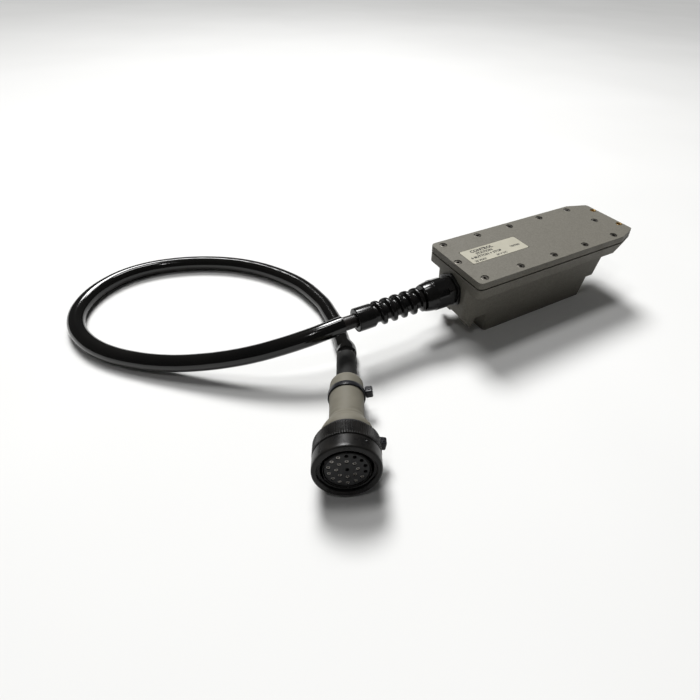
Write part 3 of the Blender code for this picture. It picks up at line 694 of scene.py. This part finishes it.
def hex_nut(name, apothem, corner_r, bore, low, high, chamfer):
    """Closed ring whose outside is min(hexagon, cone at both ends) and whose inside is round."""
    ease = np.array([0, 0.25, 0.5, 0.75, 1]) * chamfer
    h = np.r_[low + ease, high - ease[::-1]][:, None]
    fine = GLAND_TURN + np.linspace(0, 2 * np.pi, 361)[:-1]
    flats = np.minimum(hexagon(apothem, fine, FLAT_MIDDLE), corner_r)
    from_end = np.clip(np.minimum(h - low, high - h) / chamfer, 0, 1)
    cone = apothem + (corner_r - apothem) * from_end + 0.1 * MM
    hole = np.full((1, len(fine)), bore)
    grid = turned(np.vstack([hole, np.minimum(flats, cone), hole]), np.r_[low, h[:, 0], high], fine)
    return loft(name, on_gland(grid), ring=True, sharp=18)


flange_low, flange_high = WALL + GAP, WALL + 3.2 * MM
body_low, body_high = flange_high + GAP, flange_high + 7.3 * MM
flange = hex_nut("gland_hex_flange", 13.8 * MM, 15.7 * MM, 10.2 * MM, flange_low, flange_high,
                 0.7 * MM)
fit_out(flange, gland_nylon, "black_nylon", "GlandHexFlange")
body = hex_nut("gland_body", 12.0 * MM, 13.5 * MM, 6.2 * MM, body_low, body_high, 0.8 * MM)
fit_out(body, gland_nylon, "black_nylon", "GlandBody")

dome_low, dome_high = body_high + GAP, WALL + 30.7 * MM
dome_curve = through([(13.3, 0.1), (13.6, 0.8), (13.6, 5), (13.6, 9.2), (13.5, 9.8), (13.0, 10.3),
                      (12.9, 11), (12.75, 13), (12.3, 16), (11.7, 18.8), (11.1, 20.0)], 5)
dome_rows = np.vstack([[(6.2 * MM, dome_low), (12.9 * MM, dome_low)],
                       dome_curve * MM + (0, dome_low),
                       [(10.4 * MM, dome_high), (6.2 * MM, dome_high)]])
wrench_end = dome_low + 9.9 * MM
wrench = np.minimum(hexagon(13.0 * MM, LOOP, FLAT_MIDDLE), 13.6 * MM)
dome_r = dome_rows[:, :1] + 0 * LOOP
dome_r = np.where(dome_rows[:, 1:] < wrench_end, np.minimum(dome_r, wrench), dome_r)
dome = loft("gland_dome_nut", on_gland(turned(dome_r, dome_rows[:, 1])), ring=True, sharp=40)
fit_out(dome, gland_nylon, "black_nylon", "GlandDomeNut")
print("dome nut ends at x", round(END_WALL + WALL - dome_high, 5))

# %% [markdown]
# ## The spiral bend relief
#
# One rib winds five times round a soft tube and lets it bend without kinking. Along the tube and
# round it, a rib that climbs one pitch each turn is a wave in (height / pitch - angle / turn).
# Squashing that wave with tanh gives it a flat crest and steep flanks. The rib fades into the
# plain collar at one end and into the nut's mouth at the other.

# %% Bend relief
COLLAR = 15.5 * MM
TURNS = 5
CORE_R = 7.5 * MM
SQUARENESS = 2.2
collar_low = RELIEF_HIGH - COLLAR
pitch = (collar_low - RELIEF_LOW) / TURNS
h = np.linspace(RELIEF_LOW, collar_low + 0.6 * MM, 230)[:, None]
share = (h - RELIEF_LOW) / pitch - LOOP / (2 * np.pi)
wave = np.cos(2 * np.pi * (share - 0.5)) - 0.05
wave = 0.5 + 0.5 * np.tanh(SQUARENESS * wave) / math.tanh(SQUARENESS)
fade_in = np.clip((h - RELIEF_LOW) / (2.2 * MM), 0, 1)
fade_out = np.clip((collar_low - h) / (2.6 * MM), 0, 1)
crest = (10.95 - 0.55 * (h - RELIEF_LOW) / (pitch * TURNS)) * MM
ribs = CORE_R + (crest - CORE_R) * wave * (fade_in * fade_out) ** 0.5
collar_r = np.array([8.0, 9.0, 9.55, 9.75, 9.8, 9.8, 9.7, 9.3, 8.7]) * MM
collar_h = collar_low + np.array([0.7, 0.7, 0.85, 1.15, 2, 14.4, 15.1, 15.4, 15.5]) * MM
bore_r = np.array([6.1, 5.75, 5.75]) * MM
bore_h = [RELIEF_HIGH, RELIEF_HIGH - MM, RELIEF_LOW]
plain_r = np.r_[collar_r, bore_r][:, None] + 0 * LOOP
grid = turned(np.vstack([ribs, plain_r]), np.r_[h[:, 0], collar_h, bore_h])
relief = loft("spiral_bend_relief", on_gland(grid), ring=True, sharp=50)
fit_out(relief, relief_nylon, "black_nylon", "BendRelief")
print("relief has", len(relief.data.polygons), "faces, pitch", round(pitch / MM, 2), "mm")

# %% [markdown]
# ## Sleeve, boot and ties
#
# The shrink sleeve and the boot were put on loose and heated until they gripped what is inside,
# so their profiles are soft curves and their radius is a little uneven. The boot flares to a
# bell over the plug's rear, with slanted creases at the bell's neck, and has a rounded small
# end. Two cable ties hold it, one near each end.


# %% Shrunk pieces
NECK, NECK_WIDTH = -19.5 * MM, 4.5 * MM


def shrunk(name, outside, bore, seed, rough, crease=0.0):
    """Turned skin whose outer curve passes through `outside` (radius, height in mm), with an
    uneven radius, slanted creases of that depth at the bell's neck, and a plain bore."""
    curve, marks = even(through(np.array(outside) * MM, 10), 0.5 * MM)
    height = curve[:, 1:]
    neck = np.exp(-(((height - NECK) / NECK_WIDTH) ** 2))
    fold = np.sin(height / MM * 1.3 + 2.2 * np.sin(LOOP + 0.6) + 0.7 * np.sin(3 * LOOP))
    r = curve[:, :1] + rough * wander(marks, LOOP, seed, 0.05, 0.006) + crease * neck * fold
    inner = np.array(bore) * MM
    grid = turned(np.vstack([r, inner[:, :1] + 0 * LOOP]), np.r_[height[:, 0], inner[:, 1]])
    return loft(name, on_plug(grid), ring=True, sharp=60)


bell = [(17.3, -0.5), (17.35, -2), (17.4, -4.2), (17.8, -5.4), (18.0, -7.2), (17.4, -9.6),
        (16.3, -12.2), (14.9, -15), (13.5, -17.6), (12.6, -20)]
barrel = [(12.2, -23), (12.15, -28), (12.3, -36), (12.6, -46), (12.6, -54), (12.5, -58.4),
          (12.1, -60.4), (11.1, -62), (9.8, -62.7), (8.5, -62.8)]
boot_bore = [(8.3, -62.6), (8.3, -18), (14.3, -13.6), (14.3, -0.5)]
boot = shrunk("shrink_boot", bell + barrel, boot_bore, 7, 0.09 * MM, crease=0.22 * MM)
fit_out(boot, boot_putty, "shrink_boot", "ShrinkBoot")

sleeve_outside = [(7.1, -96.7), (7.7, -96.3), (7.95, -95), (7.95, -85), (7.9, -70),
                  (7.95, -50), (7.9, -23)]
sleeve_bore = [(7.0, -22.8), (7.0, -60), (7.0, -96.6)]
sleeve = shrunk("shrink_sleeve", sleeve_outside, sleeve_bore, 3, 0.08 * MM)
fit_out(sleeve, sleeve_matt, "shrink_sleeve", "ShrinkSleeve")
print("boot has", len(boot.data.polygons), "faces")


BLOCK_POWER = 0.28


def eased(wave):
    """The wave to a small power with its sign kept, which squares its curve off."""
    return np.sign(wave) * np.abs(wave) ** BLOCK_POWER


def superblock(name, half, middle, heading):
    """A moulded block: a superquadric, x = a |cos v|^p |cos u|^p with signs kept, turned to a
    heading round the plug's axis. Its corners are rounder as the power p grows."""
    u = np.linspace(0, 2 * np.pi, 96, endpoint=False)
    v = np.linspace(-0.5, 0.5, 48)[:, None] * np.pi * 0.998
    x = middle[0] + half[0] * eased(np.cos(v)) * eased(np.cos(u))
    y = half[1] * eased(np.cos(v)) * eased(np.sin(u))
    z = middle[1] + half[2] * eased(np.sin(v)) + 0 * u
    c, s = math.cos(heading), math.sin(heading)
    return loft(name, on_plug(np.stack([x * c - y * s, x * s + y * c, z], -1)), sharp=60)


HEAD_HALF = np.array([2.8, 3.2, 3.3]) * MM
TAIL_HALF = np.array([0.7, 3.9, 2.1]) * MM


def cable_tie(number, radius, height, heading, half, stand):
    """The tie's band, `half` of its width to each side of its height; its locking head, which
    stands off the boot; and the strap's cut tail that leaves the head. Returns their names."""
    low, high = height - half, height + half
    inner, outer = radius + 0.1 * MM, radius + 1.15 * MM
    strap = softened([(outer, low), (outer, high), (inner, high), (inner, low)])
    band = loft(f"boot_tie_{number}", on_plug(lathe(strap)), ring=True)
    fit_out(band, tie_nylon, "black_nylon", f"BootTie_{number}")
    names = [band.name]
    middle = (radius + stand + 2.8 * MM, height - 1.5 * MM)
    tail_middle = (middle[0] + 0.4 * MM, middle[1])
    for name, size, place in (("head", HEAD_HALF, middle), ("tail", TAIL_HALF, tail_middle)):
        block = superblock(f"tie_{name}_{number}", size, place, heading)
        names.append(fit_out(block, tie_nylon, "black_nylon").name)
    return names


tie_pieces = cable_tie(1, 12.6 * MM, -47.3 * MM, math.radians(8), 2.1 * MM, MM)
tie_pieces += cable_tie(2, 17.4 * MM, -2.5 * MM, math.radians(-12), 1.7 * MM, 3 * MM)
print("on the boot:", tie_pieces)

# %% [markdown]
# ## The plug
#
# The coupling ring is the part that fingers turn. Its rear band is finely ribbed and its front
# band is plain but for one small dimple, with a groove between. The 88 ribs need a grid with
# eight columns for each rib. The ring's mouth has a lip with two wide notches for the socket's
# bayonet pins, and a shelf behind it that runs in to the shell.

# %% Coupling ring
RIBS = 88
RIB_DEPTH, BAND_END = 0.55, 11.0
DIMPLE_HEIGHT, DIMPLE_ANGLE, DIMPLE_DEPTH, DIMPLE_R = 15, math.radians(57), 0.7, 0.8
LIP_R, NOTCH_DEPTH, NOTCH_SINE = 17.3, 1.0, 0.42
outer_curve = np.array([(0, 21.2), (0.25, 21.7), (0.5, 21.9), (0.8, 22), (10.6, 22), (11.0, 21.9),
                        (11.3, 21.5), (11.6, 21.1), (11.9, 21.1), (12.3, 21.5), (12.7, 21.85),
                        (21.3, 21.8), (21.8, 21.65), (22.15, 21.35), (22.35, 20.9), (22.4, 20.5)])
outer_h = np.r_[0, 0.25, 0.5, 0.8, 1.2, 3, 6, 9, 10.6, 11.0, 11.3, 11.6, 11.9, 12.3, 12.7, 13.0,
                np.arange(13.4, 16.6, 0.2), 17.5, 19.5, 21.3, 21.8, 22.15, 22.35, 22.4]
outer_r = np.interp(outer_h, *outer_curve.T)[:, None]
fine = np.linspace(0, 2 * np.pi, RIBS * 8, endpoint=False)
ribbed = np.clip((outer_h - 0.2) / 0.6, 0, 1) * np.clip((BAND_END - outer_h) / 0.5, 0, 1)
rib = 0.5 - 0.5 * np.tanh(2 * np.sin(RIBS * fine)) / np.tanh(2)
away = np.hypot(outer_h[:, None] - DIMPLE_HEIGHT, (fine - DIMPLE_ANGLE) * 21.8)
dimple = DIMPLE_DEPTH * np.exp(-((away / DIMPLE_R) ** 4))
outside = outer_r - RIB_DEPTH * ribbed[:, None] * rib - dimple

notch = 0.5 + 0.5 * np.tanh(9 * (NOTCH_SINE - np.abs(np.sin(fine))))
lip = LIP_R + NOTCH_DEPTH * notch + np.array([0.5, 0.15, 0, 0])[:, None]
shelf = np.array([16.5, 16.4, 18.4, 18.4, 14.4, 14.4])[:, None] + 0 * fine
bore_h = np.array([22.4, 22.1, 21.5, 20.5, 20.2, 18.2, 17.8, 3.0, 3.0, 0.0])
grid = turned(np.vstack([outside, lip, shelf]) * MM, np.r_[outer_h, bore_h] * MM, fine)
coupling = loft("coupling_ring", on_plug(grid), ring=True)
fit_out(coupling, plug_plastic, "black_nylon", "CouplingRing", body="coupling_ring")
print("coupling ring has", len(coupling.data.polygons), "faces")

# %% [markdown]
# ## Shell, insert and contacts
#
# Inside the ring is the plug's shell with five keys, and inside that the insert with its 23
# cavities: fourteen round the edge, eight inside and one in the middle. They are cut into the
# insert's face. Seventeen hold a metal socket. The middle one and five of the outer ones are
# empty, so they look like plain dark holes.

# %% Shell and insert
key_places = np.radians([90, 145, 205, 270, 340])
key = np.exp(-((np.angle(np.exp(1j * (LOOP[:, None] - key_places))) / 0.05) ** 4)).sum(-1)
# Each row is the radius, the height, and how far the keys stand out there.
shell_r, shell_h, keyed = np.array([
    (11, -13, 0), (13.9, -13, 0), (13.9, 3.4, 0), (17.3, 3.4, 0), (17.3, 5.2, 0),
    (15.0, 5.3, 0.9), (15.0, 20.4, 0.9), (14.9, 20.9, 0.5), (14.75, 21.15, 0),
    (14.45, 21.1, 0), (14.25, 20.7, 0), (14.25, 6.2, 0), (11, 6.0, 0)]).T
radii = (shell_r[:, None] + keyed[:, None] * key) * MM
shell = loft("plug_shell", on_plug(turned(radii, shell_h * MM)), ring=True)
fit_out(shell, plug_plastic, "black_nylon", "PlugShell")

rings = [(14, 11.45), (8, 6.55), (1, 0.0)]
contact_a = np.concatenate([np.pi / 2 - 2 * np.pi * np.arange(n) / n for n, _ in rings])
contact_r = np.concatenate([np.full(n, radius) for n, radius in rings]) * MM
contact_xy = np.stack([contact_r * np.cos(contact_a), contact_r * np.sin(contact_a)], -1)
EMPTY = [0, 1, 2, 3, 4, 22]


def repeated(name, profile, places, ring, sides=20):
    """One closed turned solid at every place, as a single mesh."""
    one = lathe(profile, np.linspace(0, 2 * np.pi, sides, endpoint=False)).reshape(-1, 3)
    count = len(one)
    points = one + np.column_stack([places, np.zeros(len(places))])[:, None]
    shift = np.arange(len(places))[:, None, None] * count
    faces = (skin_faces(len(profile), sides, ring) + shift).reshape(-1, 4).tolist()
    if not ring:
        ends = np.stack([np.arange(sides), np.arange(count - sides, count)])
        faces += (ends + shift).reshape(-1, sides).tolist()
    return piece_from(name, on_plug(points.reshape(-1, 3)), faces, 30)


insert_profile = np.array([(0.02, 6.4), (13.9, 6.4), (13.9, 20.5), (13.6, 20.8), (13.1, 20.8),
                           (12.95, 20.6), (0.02, 20.6)]) * MM
insert = loft("contact_insert", on_plug(lathe(insert_profile)), sharp=25)
drill_profile = np.array([(1.2, 15.4), (1.2, 20.35), (1.45, 20.65), (1.45, 21.6)]) * MM
drills = repeated("drills", drill_profile, contact_xy, False, 24)
cutting = insert.modifiers.new("cavities", "BOOLEAN")
cutting.operation, cutting.object, cutting.solver = "DIFFERENCE", drills, "EXACT"
drilled = finished_mesh(insert)
insert.modifiers.clear()
insert.data = drilled
bpy.data.objects.remove(drills)
insert.data.set_sharp_from_angle(angle=math.radians(25))
fit_out(insert, insert_plastic, "black_nylon", "ContactInsert")

filled = ~np.isin(np.arange(len(contact_xy)), EMPTY)
socket_profile = np.array([(1.15, 15.6), (1.15, 19.9), (1.05, 20.15), (0.8, 20.15), (0.66, 19.9),
                           (0.66, 16.1), (0.3, 16.0), (0.3, 15.6)]) * MM
sockets = repeated("socket_contacts", socket_profile, contact_xy[filled], True)
fit_out(sockets, socket_tin, "screw_steel")
print(int(filled.sum()), "sockets in", len(contact_xy), "cavities")

# %% [markdown]
# ## What the cable carries
#
# The relief, sleeve, boot, ties and plug all sit on it.

# %% [markdown]
# ## The control face
#
# The buttons face the table, down in a guarded well. Each cap is dished for a fingertip and runs
# in a nylon bezel, and the stop is a fluted mushroom. These follow the CAD's sizes and only
# round what a mould would round.

# %% Buttons, bezels and stop
bezel_profile = np.array([(6.3, 27), (6.3, 14.6), (6.7, 14.0), (8.0, 14.0), (8.6, 14.3), (9, 15),
                          (9, 18.7), (7.6, 18.7), (7.6, 27)]) * MM
cap_profile = np.array([(0.05, 23.5), (5.95, 23.5), (5.95, 9.0), (5.8, 8.4), (5.4, 8.05),
                        (4.6, 8.1), (3.2, 8.45), (1.6, 8.7), (0.05, 8.8)]) * MM
for number in range(1, 7):
    x, y, _, _ = seat(f"ButtonCap_{number}")
    bezel = loft(f"button_bezel_{number}", lathe(bezel_profile) + (x, y, 0), ring=True)
    fit_out(bezel, gland_nylon, "black_nylon", f"ButtonBezel_{number}")
    cap = loft(f"button_cap_{number}", lathe(cap_profile) + (x, y, 0))
    fit_out(cap, button_black, "black_nylon", f"ButtonCap_{number}", body=f"button_{number}")

FLUTES, FLUTE_DEPTH = 16, 0.35
stop_x, stop_y, _, _ = seat("StopHead")
collar_profile = np.array([(5.3, 27), (5.3, 14.3), (5.6, 14), (11, 14), (11.7, 14.3), (12, 15),
                           (12, 18.7), (9, 18.7), (9, 27)]) * MM
collar = loft("stop_bezel", lathe(collar_profile) + (stop_x, stop_y, 0), ring=True)
fit_out(collar, gland_nylon, "black_nylon", "StopBezel")

# Each row is the radius, the height, and the share of the flutes' depth there.
head_r, head_h, fluted = np.array([
    (0.05, 5.5, 0), (5.25, 5.5, 0), (5.3, 9.5, 0), (11.4, 9.5, 0), (12.2, 9.2, 0.5),
    (12.5, 8.4, 1), (12.5, 5.4, 1), (12.1, 4.4, 0.7), (10.9, 3.4, 0.2), (8.5, 2.8, 0),
    (5, 2.55, 0), (0.05, 2.5, 0)]).T
grip = FLUTE_DEPTH * (0.5 + 0.5 * np.cos(FLUTES * LOOP)) ** 2
radii = (head_r[:, None] - fluted[:, None] * grip) * MM
head = loft("stop_head", turned(radii, head_h * MM) + (stop_x, stop_y, 0))
fit_out(head, stop_red, "stop_red", "StopHead", body="stop_head")

plain = {"GlandInnerNut": gland_nylon, "StopStem": button_black, "LegendPlate": legend_yellow,
         "WiringBoard": board_green, "TerminalStrip": gland_nylon,
         "StopContactBlock": switch_black}
plain.update({f"SwitchBlock_{number}": switch_black for number in range(1, 7)})
for name, finish in plain.items():
    dress(nodes[name], finish)
print("control face done,", len(plain), "CAD pieces painted as they are")

# %% [markdown]
# ## Marks on the legend plate
#
# A plus or a minus sign beside each button shows which way it drives. They are thin printed
# shapes on the underside of the plate, seen only from below.

# %% Legend marks
plate_low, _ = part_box("LegendPlate")
ROW_OFFSET, MARK_SIZE = 10.4 * MM, 4.5 * MM


def under_plate(points):
    """Turns flat marks face down and puts them on the underside of the legend plate."""
    return points * (1, -1, -1) + (0, 0, plate_low.z - PRINT_GAP)


for number, x in enumerate((-48.0, -20.0, 8.0), 1):
    for side, y, mark in (("a", ROW_OFFSET, "+"), ("b", -ROW_OFFSET, "-")):
        printed(f"legend_{number}_{side}", mark, (x * MM, y), MARK_SIZE, under_plate, "legend",
                align="CENTER")
print("6 marks")

# %% [markdown]
# ## Table and light
#
# The table is plain and pale. Soft daylight comes down from beyond the object, so the cover is
# bright and the near sides fall into shade. A window on the same side and a longer light
# overhead add broad reflections, and a small lamp on the viewer's left adds sharper ones.

# %% Table
HALF_WIDTH = 6.0
corners = [(x * HALF_WIDTH, y * HALF_WIDTH, 0) for x, y in ((-1, -1), (1, -1), (1, 1), (-1, 1))]
table_mesh = bpy.data.meshes.new("table")
table_mesh.from_pydata(corners, [], [(0, 1, 2, 3)])
table = bpy.data.objects.new("table", table_mesh)
bpy.context.scene.collection.objects.link(table)
pale = new_finish("pale_table", (0.72, 0.72, 0.71), 0.75)
colour_between(pale, add_noise(pale, 3, 2), (0.71, 0.71, 0.70), (0.74, 0.74, 0.73))
table_mesh.materials.append(pale)


# %% Lights
def aimed_light(name, kind, energy, along):
    """A light of that kind whose beam points along a direction."""
    lamp = bpy.data.objects.new(name, bpy.data.lights.new(name, kind))
    bpy.context.scene.collection.objects.link(lamp)
    lamp.data.energy = energy
    lamp.rotation_euler = Vector(along).to_track_quat("-Z", "Y").to_euler()
    return lamp


def soft_light(name, place, aim, size, watts):
    """A rectangular area light at a place that faces a point."""
    lamp = aimed_light(name, "AREA", watts, Vector(aim) - Vector(place))
    lamp.location = place
    lamp.data.shape = "RECTANGLE"
    lamp.data.size, lamp.data.size_y = size


soft_light("window", (0.25, 1.25, 1.75), (-0.1, 0.05, 0), (0.8, 0.5), 20)
soft_light("overhead", (-0.1, 0.35, 1.6), (-0.1, 0.05, 0), (0.7, 0.25), 8)
soft_light("lamp", (-0.62, -0.38, 1.25), (-0.15, 0.05, 0), (0.07, 0.07), 1.2)
aimed_light("daylight", "SUN", 2.5, (-0.15, -0.75, -1)).data.angle = math.radians(20)

world = bpy.data.worlds.new("room")
bpy.context.scene.world = world
world.use_nodes = True
world.node_tree.nodes["Background"].inputs["Color"].default_value = (1, 1, 1, 1)
world.node_tree.nodes["Background"].inputs["Strength"].default_value = 0.06
bpy.context.scene.view_settings.view_transform = "Standard"
